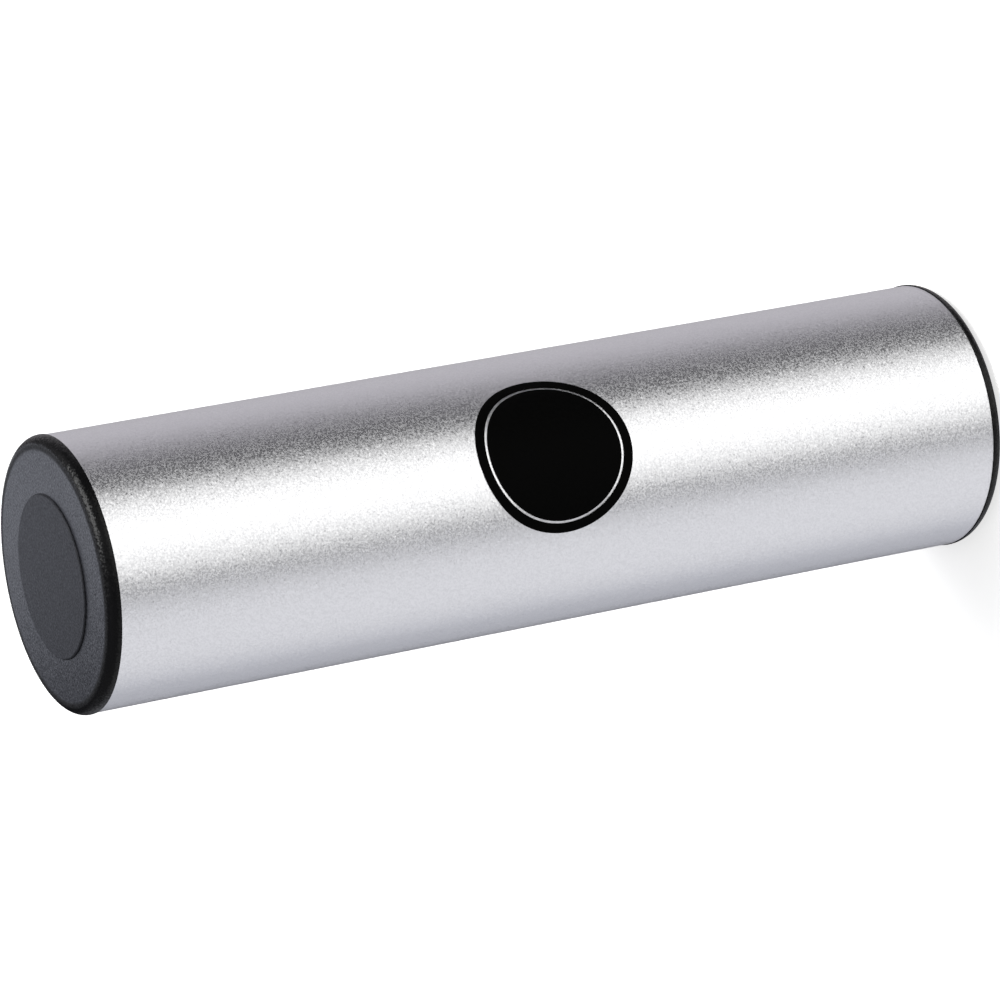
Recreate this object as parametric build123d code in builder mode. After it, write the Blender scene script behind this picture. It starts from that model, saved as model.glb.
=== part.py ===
from build123d import *
import os
from math import ceil, cos, floor, pi, sin

# Tube shaker: a metal tube closed by two moulded end caps, with loose steel shot inside.
# Millimetres. It stands on its bottom cap's pad at z = 0, with +Z along the tube and the badge facing -Y.

# Tube
TUBE_DIAMETER = 62.5
TUBE_WALL = 1.5
TUBE_LENGTH = 222.4
TUBE_END_CHAMFER = 0.1

# End caps: a flange that covers the tube's end, a low round pad on its face, and a skirt that plugs the bore
FLANGE_THICKNESS = 2.8
FLANGE_OVERHANG = 0.2
FACE_EDGE_ROUND = 2.6
SEAT_EDGE_ROUND = 0.1
RIM_LAND = 0.1
PAD_DIAMETER = 37.2
PAD_HEIGHT = 0.5
PAD_EDGE_ROUND = 0.4
SKIRT_LENGTH = 10.0
SKIRT_WALL = 2.0
SKIRT_CLEARANCE = 0.25
SKIRT_LEAD_IN = 0.6
RIB_COUNT = 3
RIB_WIDTH = 1.2
RIB_CLEARANCE = 0.02

# Badge: a thin film on the tube, round when laid flat, with a bare line near its edge
BADGE_DIAMETER = 38.2
BADGE_LINE_INSET = 2.2
BADGE_LINE_WIDTH = 0.6
BADGE_FILM = 0.12
BADGE_GLUE = 0.02
BADGE_ABOVE_MIDDLE = 1.9
BADGE_OUTLINE_POINTS = 24

# Loose shot, lying on the bottom cap in rings round one ball in the middle
SHOT_DIAMETER = 4.5
SHOT_LEAST_SPACING = 0.4
SHOT_REST_GAP = 0.1
SHOT_WALL_GAP = 0.5
SHOT_SECTORS = 6
SHOT_BANDS = ("inner", "middle", "outer")

# Sizes that follow from these
tube_radius = TUBE_DIAMETER / 2
bore_radius = tube_radius - TUBE_WALL
flange_radius = tube_radius + FLANGE_OVERHANG
skirt_radius = bore_radius - SKIRT_CLEARANCE
skirt_inner_radius = skirt_radius - SKIRT_WALL
rib_radius = bore_radius - RIB_CLEARANCE
seat_height = PAD_HEIGHT + FLANGE_THICKNESS
overall_length = TUBE_LENGTH + 2 * seat_height
face_edge_round = min(FACE_EDGE_ROUND, FLANGE_THICKNESS - SEAT_EDGE_ROUND - RIM_LAND)
pad_edge_round = min(PAD_EDGE_ROUND, PAD_HEIGHT - RIM_LAND)
badge_height = overall_length / 2 + BADGE_ABOVE_MIDDLE
film_inner_radius = tube_radius + BADGE_GLUE
film_outer_radius = film_inner_radius + BADGE_FILM
shot_radius = SHOT_DIAMETER / 2
shot_height = seat_height + SHOT_REST_GAP + shot_radius
outer_ring_radius = skirt_inner_radius - SHOT_WALL_GAP - shot_radius
ring_count = floor(outer_ring_radius / (SHOT_DIAMETER + SHOT_LEAST_SPACING))
ring_pitch = outer_ring_radius / ring_count

os.makedirs("parts", exist_ok=True)


def rolled_circle(radius):
    """A circle laid on the film's inner face, as it looks from straight in front."""
    points = []
    for i in range(BADGE_OUTLINE_POINTS):
        turn = 2 * pi * i / BADGE_OUTLINE_POINTS
        around = radius * cos(turn) / film_inner_radius
        points.append((film_inner_radius * sin(around), radius * sin(turn)))
    return points


# Tube
with BuildPart() as tube:
    with BuildSketch(Plane.XY.offset(seat_height)):
        Circle(tube_radius)
        Circle(bore_radius, mode=Mode.SUBTRACT)
    extrude(amount=TUBE_LENGTH)
    chamfer(tube.edges().filter_by(GeomType.CIRCLE), length=TUBE_END_CHAMFER)

tube.part.label = "tube"
export_step(tube.part, "parts/tube.step")

# Bottom cap
with BuildPart() as bottom_cap:
    with BuildSketch(Plane.XY.offset(PAD_HEIGHT)):
        Circle(flange_radius)
    extrude(amount=FLANGE_THICKNESS)
    fillet(bottom_cap.edges().sort_by(Axis.Z)[0], radius=face_edge_round)
    fillet(bottom_cap.edges().sort_by(Axis.Z)[-1], radius=SEAT_EDGE_ROUND)
    with BuildSketch():
        Circle(PAD_DIAMETER / 2)
    extrude(amount=seat_height)
    fillet(bottom_cap.edges().sort_by(Axis.Z)[0], radius=pad_edge_round)
    with BuildSketch(Plane.XY.offset(seat_height)):
        Circle(skirt_radius)
        Circle(skirt_inner_radius, mode=Mode.SUBTRACT)
    extrude(amount=SKIRT_LENGTH)
    skirt_rims = bottom_cap.edges().group_by(Axis.Z)[-1]
    chamfer(skirt_rims.sort_by(SortBy.LENGTH)[-1], length=SKIRT_LEAD_IN)
    for i in range(RIB_COUNT):
        rib_middle = seat_height + SKIRT_LENGTH * (i + 1) / (RIB_COUNT + 1)
        with BuildSketch(Plane.XY.offset(rib_middle - RIB_WIDTH / 2)):
            Circle(rib_radius)
            Circle(skirt_radius - SKIRT_WALL / 2, mode=Mode.SUBTRACT)
        extrude(amount=RIB_WIDTH)

bottom_cap.part.label = "bottom_cap"
export_step(bottom_cap.part, "parts/bottom_cap.step")

# Top cap, the same moulding turned over
with BuildPart() as top_cap:
    mirror(bottom_cap.part, about=Plane.XY.offset(overall_length / 2))

top_cap.part.label = "top_cap"
export_step(top_cap.part, "parts/top_cap.step")

# Badge
line_outer_radius = BADGE_DIAMETER / 2 - BADGE_LINE_INSET
line_inner_radius = line_outer_radius - BADGE_LINE_WIDTH
badge_front = Plane((0, 0, badge_height), x_dir=(1, 0, 0), z_dir=(0, -1, 0))
badge_outlines = (
    (BADGE_DIAMETER / 2, Mode.ADD),
    (line_outer_radius, Mode.SUBTRACT),
    (line_inner_radius, Mode.ADD),
)
with BuildPart() as badge:
    with BuildSketch(badge_front):
        for outline_radius, mode in badge_outlines:
            with BuildLine():
                Spline(*rolled_circle(outline_radius), periodic=True)
            make_face(mode=mode)
    extrude(amount=TUBE_DIAMETER)
    with BuildSketch():
        Circle(film_outer_radius)
        Circle(film_inner_radius, mode=Mode.SUBTRACT)
    extrude(amount=overall_length, mode=Mode.INTERSECT)

badge.part.label = "badge"
export_step(badge.part, "parts/badge.step")

# Loose shot: the middle ball, then clumps of balls that move by themselves, each clump one sector of
# a band of rings. A sector of the ring numbered n holds n balls.
with BuildPart(Plane.XY.offset(shot_height)) as shot_centre:
    Sphere(shot_radius)

shot_centre.part.label = "shot_centre"
export_step(shot_centre.part, "parts/shot_centre.step")

sector_angle = 360 / SHOT_SECTORS
for band, band_name in enumerate(SHOT_BANDS):
    first_ring = ceil(band * ring_count / len(SHOT_BANDS)) + 1
    last_ring = ceil((band + 1) * ring_count / len(SHOT_BANDS))
    for sector in range(SHOT_SECTORS):
        start = sector * sector_angle
        with BuildPart(Plane.XY.offset(shot_height)) as shot:
            for ring in range(first_ring, last_ring + 1):
                with PolarLocations(ring * ring_pitch, ring, start_angle=start, angular_range=sector_angle):
                    Sphere(shot_radius)
        name = f"shot_{band_name}_{sector + 1}"
        shot.part.label = name
        export_step(shot.part, f"parts/{name}.step")
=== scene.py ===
from collections import namedtuple
from math import cos, pi, radians, sin

import bpy
from mathutils import Matrix, Vector


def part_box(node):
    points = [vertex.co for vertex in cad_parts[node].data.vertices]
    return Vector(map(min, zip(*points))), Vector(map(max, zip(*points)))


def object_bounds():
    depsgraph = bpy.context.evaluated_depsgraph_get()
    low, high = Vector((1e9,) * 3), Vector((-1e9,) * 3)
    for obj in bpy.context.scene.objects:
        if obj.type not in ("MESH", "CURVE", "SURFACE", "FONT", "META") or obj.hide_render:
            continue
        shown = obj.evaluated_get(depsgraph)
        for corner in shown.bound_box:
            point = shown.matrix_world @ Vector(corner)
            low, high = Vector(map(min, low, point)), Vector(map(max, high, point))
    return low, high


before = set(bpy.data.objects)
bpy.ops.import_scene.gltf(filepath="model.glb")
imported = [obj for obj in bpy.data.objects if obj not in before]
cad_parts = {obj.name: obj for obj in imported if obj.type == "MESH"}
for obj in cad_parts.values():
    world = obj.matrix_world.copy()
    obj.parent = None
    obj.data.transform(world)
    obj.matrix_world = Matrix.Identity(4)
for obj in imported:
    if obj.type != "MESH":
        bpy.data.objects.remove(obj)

# Looks of the tube shaker: a blasted aluminium tube, grained black caps, a printed badge and steel shot.
# Metres and degrees. The tube stands on its bottom cap along +Z, and the badge faces -Y.
# Azimuths turn from -Y towards +X, and elevations rise from the floor.
cad_low, cad_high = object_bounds()
middle = (cad_low + cad_high) / 2
cap_radius = (cad_high.x - cad_low.x) / 2
tube_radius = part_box("tube")[1].x

# Camera: the roll lays the standing tube across the picture, and the aim is a step from the part's middle
CAMERA_AZIMUTH = -13.87
CAMERA_ELEVATION = 25.82
CAMERA_ROLL = -100.54
CAMERA_DISTANCE = 1.2127
CAMERA_AIM = Vector((-0.0011, 0.0014, 0.0025))
# Lens and sensor in millimetres
CAMERA_LENS = 190.23
CAMERA_SENSOR = 36.0

# Studio: a dim base and tall bands of light round the tube. The core is the hot middle of the key.
Band = namedtuple("Band", "azimuth half_width edge colour")
STUDIO_BASE = (0.024, 0.024, 0.028)
STUDIO_BANDS = {
    "key": Band(azimuth=7.2, half_width=35.5, edge=2, colour=(1.43, 1.43, 1.375)),
    "core": Band(azimuth=8.3, half_width=8, edge=8, colour=(0.876, 0.876, 0.85)),
    "fill": Band(azimuth=-83.1, half_width=39, edge=29.4, colour=(0.981, 0.986, 0.997)),
    "back": Band(azimuth=117.7, half_width=35.5, edge=49.5, colour=(0.638, 0.616, 0.644)),
    "low": Band(azimuth=-144.8, half_width=24.4, edge=8, colour=(0.503, 0.513, 0.55)),
}
# Above the horizon they fade to this share over this many degrees
SKY_SHARE = 0.35
SKY_EDGE = 10.0
# A round light overhead, with the radius of its even middle and of its soft edge
TOP_AZIMUTH = 88.0
TOP_ELEVATION = 64.0
TOP_MIDDLE = 6.0
TOP_EDGE = 25.0
TOP_COLOUR = (11.0, 11.0, 11.0)
# A soft box that the top cap's face reflects, moved a little up the picture
BOX_AZIMUTH = 166.0
BOX_ELEVATION = 25.0
BOX_DISTANCE = 0.20
BOX_RISE = 0.025
BOX_SIZE = (0.085, 0.14)
BOX_RADIANCE = 2.55
BOX_COLOUR = (0.85, 0.885, 1.0)

# Floor: a grey that the studio lights, with a glow that the camera alone sees
FLOOR_SIZE = 60.0
FLOOR_GREY = (0.60, 0.60, 0.60, 1)
FLOOR_LIFT = 0.70
WHITE = (1, 1, 1, 1)

# Colours, each with the grain and detail of its mottling, and its darkest and lightest share
TUBE_GREY = (0.70, 0.70, 0.73, 1)
TUBE_MOTTLE = (0.0010, 4)
TUBE_SHADES = (0.985, 1.015)
CAP_GREY = (0.020, 0.0208, 0.0255, 1)
CAP_MOTTLE = (0.0006, 3)
CAP_SHADES = (0.8, 1.2)
# Painted shade on the caps' edge and rim: a black darker than the face's own grey, standing in for the
# shade there
RIM_PAINTED_SHADE = (0.0035, 0.0035, 0.0040, 1)
BADGE_BLACK = (0.0010, 0.0010, 0.0010, 1)
BADGE_MOTTLE = (0.0008, 3)
BADGE_SHADES = (0.7, 1.3)
STEEL_GREY = (0.55, 0.55, 0.56, 1)
STEEL_MOTTLE = (0.0015, 4)
STEEL_SHADES = (0.85, 1.1)
# The range in which most of a noise lies, and the middle of a noise's colour
NOISE_RANGE = (0.3, 0.7)
NOISE_MIDDLE = (0.5, 0.5, 0.5)

# Tube: grains that lean a little, and pits that are rougher than the metal between them
TUBE_GRAIN = 0.00046
TUBE_LEAN = 0.0155
TUBE_LEAN_GAIN = 20.5
TUBE_ROUGHNESS = 0.31
PIT_GRAIN = 0.00042
PIT_ROUGHNESS = 0.465
PIT_START = 0.42
PIT_END = 0.60
# What lies within this depth of the tube's radius is its outside
OUTSIDE_DEPTH = 0.0005
OUTSIDE_BLUR = 0.00025

# Caps: a matt grained face with a duller pad and a duller edge, and a smoother rim outside that
CAP_GLOSS = 0.13
CAP_GRAIN = 0.00045
CAP_LEAN = 0.17
CAP_LEAN_GAIN = 1.0
FACE_ROUGHNESS = 0.45
PAD_ROUGHNESS = 0.62
PAD_RADIUS = 0.0184
PAD_BLUR = 0.0002
EDGE_ROUGHNESS = 0.64
RIM_ROUGHNESS = 0.29
# How far in from the cap's radius the edge and the rim start. From the edge outward the colour is a
# painted shade.
EDGE_INSET = 0.0036
RIM_INSET = 0.0024
EDGE_BLUR = 0.0009

# Badge and shot: the least and the most roughness
BADGE_GLOSS = 0.02
BADGE_ROUGHNESS = (0.55, 0.65)
STEEL_ROUGHNESS = (0.18, 0.32)

# The Mix node's two inputs and its output, for each kind of value
MIX_SOCKETS = {"FLOAT": (2, 3, 0), "VECTOR": (4, 5, 1), "RGBA": (6, 7, 2)}


def add(tree, kind, inputs=None, **settings):
    """A new node. Each input is a value, or the socket that feeds it."""
    node = tree.nodes.new(kind)
    for name, value in settings.items():
        setattr(node, name, value)
    for name, value in (inputs or {}).items():
        if isinstance(value, bpy.types.NodeSocket):
            tree.links.new(value, node.inputs[name])
        else:
            node.inputs[name].default_value = value
    return node


def number_math(tree, operation, *numbers):
    """The number that an operation makes of other numbers."""
    return add(tree, "ShaderNodeMath", dict(enumerate(numbers)), operation=operation).outputs[0]


def vector_math(tree, operation, *vectors, result="Vector"):
    """The vector, or the Value, that an operation makes of one or two vectors."""
    node = add(tree, "ShaderNodeVectorMath", dict(enumerate(vectors)), operation=operation)
    return node.outputs[result]


def scaled(tree, vector, factor):
    """A vector or colour times a number."""
    inputs = {0: vector, "Scale": factor}
    return add(tree, "ShaderNodeVectorMath", inputs, operation="SCALE").outputs["Vector"]


def length_of(tree, vector):
    return vector_math(tree, "LENGTH", vector, result="Value")


def spread(tree, value, low, high, to_low, to_high):
    """A value between low and high, eased to another range."""
    inputs = {"Value": value, "From Min": low, "From Max": high, "To Min": to_low, "To Max": to_high}
    return add(tree, "ShaderNodeMapRange", inputs, interpolation_type="SMOOTHSTEP").outputs["Result"]


def blend(tree, kind, amount, first, second):
    """One number, vector or colour where the amount is 0, another where it is 1."""
    first_input, second_input, output = MIX_SOCKETS[kind]
    inputs = {0: amount, first_input: first, second_input: second}
    return add(tree, "ShaderNodeMix", inputs, data_type=kind).outputs[output]


def noise(tree, place, grain, detail=0.0):
    """Noise whose grains are about that many metres across, as a number from 0 to 1 and as a colour."""
    node = add(tree, "ShaderNodeTexNoise", {"Vector": place, "Scale": 1 / grain, "Detail": detail})
    return node.outputs["Fac"], node.outputs["Color"]


def uneven(tree, place, grain, detail, least, most):
    """A number that varies by noise between two others."""
    return spread(tree, noise(tree, place, grain, detail)[0], *NOISE_RANGE, least, most)


def shade(colour, share):
    return (colour[0] * share, colour[1] * share, colour[2] * share, 1)


def mottled(tree, place, colour, grain, detail, least, most):
    """A colour whose shade varies by noise between two shares of it."""
    tone = uneven(tree, place, grain, detail, 0, 1)
    return blend(tree, "RGBA", tone, shade(colour, least), shade(colour, most))


def from_axis(tree, place):
    """The way from the tube's axis to a place on the part."""
    return vector_math(tree, "MULTIPLY", place, (1, 1, 0))


def mesh_normal(tree):
    return add(tree, "ShaderNodeNewGeometry").outputs["Normal"]


def tube_normal(tree, place):
    """The mesh's normal, but straight out from the axis outside, where the tube's mesh has a seam."""
    outward = from_axis(tree, place)
    start = tube_radius - OUTSIDE_DEPTH
    outside = spread(tree, length_of(tree, outward), start, start + OUTSIDE_BLUR, 0, 1)
    return blend(tree, "VECTOR", outside, mesh_normal(tree), vector_math(tree, "NORMALIZE", outward))


def roughen(tree, place, normal, grain, lean, gain):
    """A normal, leaned at random by grains of that size. The gain makes strong grains lean more."""
    centred = vector_math(tree, "SUBTRACT", noise(tree, place, grain)[1], NOISE_MIDDLE)
    amount = number_math(tree, "MULTIPLY_ADD", length_of(tree, centred), 2 * lean * gain, 2 * lean)
    leaned = vector_math(tree, "ADD", normal, scaled(tree, centred, amount))
    return vector_math(tree, "NORMALIZE", leaned)


def new_finish(name, values):
    """A material, its node tree, its shader with these values, and the place on the part in metres."""
    material = bpy.data.materials.new(name)
    material.use_nodes = True
    tree = material.node_tree
    shader = tree.nodes["Principled BSDF"]
    for socket, value in values.items():
        shader.inputs[socket].default_value = value
    place = add(tree, "ShaderNodeTexCoord").outputs["Object"]
    return material, tree, shader, place


def blasted_aluminium():
    material, tree, shader, place = new_finish("blasted_aluminium", {"Metallic": 1})
    colour = mottled(tree, place, TUBE_GREY, *TUBE_MOTTLE, *TUBE_SHADES)
    tree.links.new(colour, shader.inputs["Base Color"])
    pits = noise(tree, place, PIT_GRAIN)[0]
    roughness = spread(tree, pits, PIT_START, PIT_END, TUBE_ROUGHNESS, PIT_ROUGHNESS)
    tree.links.new(roughness, shader.inputs["Roughness"])
    normal = roughen(tree, place, tube_normal(tree, place), TUBE_GRAIN, TUBE_LEAN, TUBE_LEAN_GAIN)
    tree.links.new(normal, shader.inputs["Normal"])
    return material


def moulded_plastic():
    material, tree, shader, place = new_finish("moulded_plastic", {"Specular IOR Level": CAP_GLOSS})
    radius = length_of(tree, from_axis(tree, place))
    edge_start = cap_radius - EDGE_INSET
    edge = spread(tree, radius, edge_start, edge_start + EDGE_BLUR, 0, 1)
    face_colour = mottled(tree, place, CAP_GREY, *CAP_MOTTLE, *CAP_SHADES)
    # The edge and rim blend to the painted shade, darker than the face
    colour = blend(tree, "RGBA", edge, face_colour, RIM_PAINTED_SHADE)
    tree.links.new(colour, shader.inputs["Base Color"])
    face_roughness = spread(tree, radius, PAD_RADIUS, PAD_RADIUS + PAD_BLUR, PAD_ROUGHNESS, FACE_ROUGHNESS)
    rim_start = cap_radius - RIM_INSET
    rim_roughness = spread(tree, radius, rim_start, rim_start + EDGE_BLUR, EDGE_ROUGHNESS, RIM_ROUGHNESS)
    roughness = blend(tree, "FLOAT", edge, face_roughness, rim_roughness)
    tree.links.new(roughness, shader.inputs["Roughness"])
    normal = roughen(tree, place, mesh_normal(tree), CAP_GRAIN, CAP_LEAN, CAP_LEAN_GAIN)
    tree.links.new(normal, shader.inputs["Normal"])
    return material


def printed_black():
    material, tree, shader, place = new_finish("printed_black", {"Specular IOR Level": BADGE_GLOSS})
    colour = mottled(tree, place, BADGE_BLACK, *BADGE_MOTTLE, *BADGE_SHADES)
    tree.links.new(colour, shader.inputs["Base Color"])
    roughness = uneven(tree, place, *BADGE_MOTTLE, *BADGE_ROUGHNESS)
    tree.links.new(roughness, shader.inputs["Roughness"])
    return material


def polished_steel():
    material, tree, shader, place = new_finish("polished_steel", {"Metallic": 1})
    colour = mottled(tree, place, STEEL_GREY, *STEEL_MOTTLE, *STEEL_SHADES)
    tree.links.new(colour, shader.inputs["Base Color"])
    roughness = uneven(tree, place, *STEEL_MOTTLE, *STEEL_ROUGHNESS)
    tree.links.new(roughness, shader.inputs["Roughness"])
    return material


def dress_nodes():
    """Give each CAD node its finish. All that isn't the shell is shot."""
    plastic = moulded_plastic()
    steel = polished_steel()
    finishes = {
        "tube": blasted_aluminium(),
        "bottom_cap": plastic,
        "top_cap": plastic,
        "badge": printed_black(),
    }
    for name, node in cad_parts.items():
        node.data.materials.clear()
        node.data.materials.append(finishes.get(name, steel))


def new_object(name, data):
    """A new object in the scene."""
    made = bpy.data.objects.new(name, data)
    bpy.context.scene.collection.objects.link(made)
    return made


def make_floor():
    """A pale floor, white to the camera, that keeps the shadow and stays out of reflections."""
    half = FLOOR_SIZE / 2
    mesh = bpy.data.meshes.new("floor")
    corners = [(-half, -half, 0), (half, -half, 0), (half, half, 0), (-half, half, 0)]
    mesh.from_pydata(corners, [], [(0, 1, 2, 3)])
    floor = new_object("floor", mesh)
    floor.visible_glossy = False
    floor.visible_diffuse = False
    floor.visible_shadow = False
    material = bpy.data.materials.new("floor_white")
    material.use_nodes = True
    tree = material.node_tree
    tree.nodes.clear()
    paint = add(tree, "ShaderNodeBsdfDiffuse", {"Color": FLOOR_GREY})
    rays = add(tree, "ShaderNodeLightPath").outputs
    lift = number_math(tree, "MULTIPLY", rays["Is Camera Ray"], FLOOR_LIFT)
    glow = add(tree, "ShaderNodeEmission", {"Strength": lift})
    both = add(tree, "ShaderNodeAddShader", {0: paint.outputs[0], 1: glow.outputs[0]})
    add(tree, "ShaderNodeOutputMaterial", {"Surface": both.outputs[0]})
    mesh.materials.append(material)


def heading(azimuth, elevation):
    """The direction at that azimuth and elevation."""
    turn = radians(azimuth)
    rise = radians(elevation)
    return Vector((sin(turn) * cos(rise), -cos(turn) * cos(rise), sin(rise)))


def standing_at(place, right, back):
    """The matrix of a lamp or camera at a place, by its right and backward directions."""
    turn = Matrix((right, back.cross(right), back)).transposed()
    return Matrix.Translation(place) @ turn.to_4x4()


def camera_directions():
    """The camera's right and backward directions."""
    back = heading(CAMERA_AZIMUTH, CAMERA_ELEVATION)
    level = heading(CAMERA_AZIMUTH + 90, 0)
    roll = radians(CAMERA_ROLL)
    right = cos(roll) * level + sin(roll) * back.cross(level)
    return right, back


def upright_bands(tree, direction):
    """The light from a direction: a dim base and tall soft bands that fade above the horizon."""
    axes = add(tree, "ShaderNodeSeparateXYZ", {0: direction})
    front = number_math(tree, "MULTIPLY", axes.outputs["Y"], -1)
    azimuth = number_math(tree, "ARCTAN2", axes.outputs["X"], front)
    total = add(tree, "ShaderNodeCombineXYZ", dict(enumerate(STUDIO_BASE))).outputs[0]
    for band in STUDIO_BANDS.values():
        offset = number_math(tree, "SUBTRACT", azimuth, radians(band.azimuth))
        turn = number_math(tree, "WRAP", offset, pi, -pi)
        inside = radians(band.half_width - band.edge / 2)
        outside = radians(band.half_width + band.edge / 2)
        amount = spread(tree, number_math(tree, "ABSOLUTE", turn), inside, outside, 1, 0)
        total = vector_math(tree, "ADD", total, scaled(tree, band.colour, amount))
    fade = spread(tree, axes.outputs["Z"], 0, sin(radians(SKY_EDGE)), 1, SKY_SHARE)
    return scaled(tree, total, fade)


def top_light(tree, direction):
    """The light from a direction: a soft round patch overhead."""
    towards = heading(TOP_AZIMUTH, TOP_ELEVATION)
    nearness = vector_math(tree, "DOT_PRODUCT", direction, towards, result="Value")
    amount = spread(tree, nearness, cos(radians(TOP_EDGE)), cos(radians(TOP_MIDDLE)), 0, 1)
    return scaled(tree, TOP_COLOUR, amount)


def make_studio():
    """Studio light from all round, with white behind the part for camera and transmission rays."""
    world = bpy.data.worlds.new("studio")
    bpy.context.scene.world = world
    world.use_nodes = True
    tree = world.node_tree
    tree.nodes.clear()
    direction = add(tree, "ShaderNodeTexCoord").outputs["Generated"]
    light = vector_math(tree, "ADD", upright_bands(tree, direction), top_light(tree, direction))
    rays = add(tree, "ShaderNodeLightPath").outputs
    straight = number_math(tree, "MAXIMUM", rays["Is Camera Ray"], rays["Is Transmission Ray"])
    seen = blend(tree, "RGBA", straight, light, WHITE)
    background = add(tree, "ShaderNodeBackground", {"Color": seen, "Strength": 1})
    add(tree, "ShaderNodeOutputWorld", {"Surface": background.outputs[0]})


def make_face_light():
    """A soft box that the top cap's face reflects, out of the camera's sight."""
    data = bpy.data.lights.new("face_box", "AREA")
    data.shape = "RECTANGLE"
    data.size, data.size_y = BOX_SIZE
    data.energy = BOX_RADIANCE * pi * data.size * data.size_y
    data.color = BOX_COLOUR
    lamp = new_object("face_box", data)
    lamp.visible_camera = False
    face = Vector((0, 0, cad_high.z))
    camera_right, camera_back = camera_directions()
    camera_up = camera_back.cross(camera_right)
    picture_up = Vector((camera_up.x, camera_up.y, 0)).normalized()
    back = heading(BOX_AZIMUTH, BOX_ELEVATION)
    right = (picture_up - picture_up.dot(back) * back).normalized()
    lamp.matrix_world = standing_at(face + BOX_DISTANCE * back + BOX_RISE * picture_up, right, back)


def make_camera():
    data = bpy.data.cameras.new("camera")
    data.lens = CAMERA_LENS
    data.sensor_width = CAMERA_SENSOR
    camera = new_object("camera", data)
    right, back = camera_directions()
    camera.matrix_world = standing_at(middle + CAMERA_AIM + CAMERA_DISTANCE * back, right, back)
    bpy.context.scene.camera = camera


dress_nodes()
make_floor()
make_studio()
make_face_light()
make_camera()
bpy.context.scene.view_settings.view_transform = "Standard"
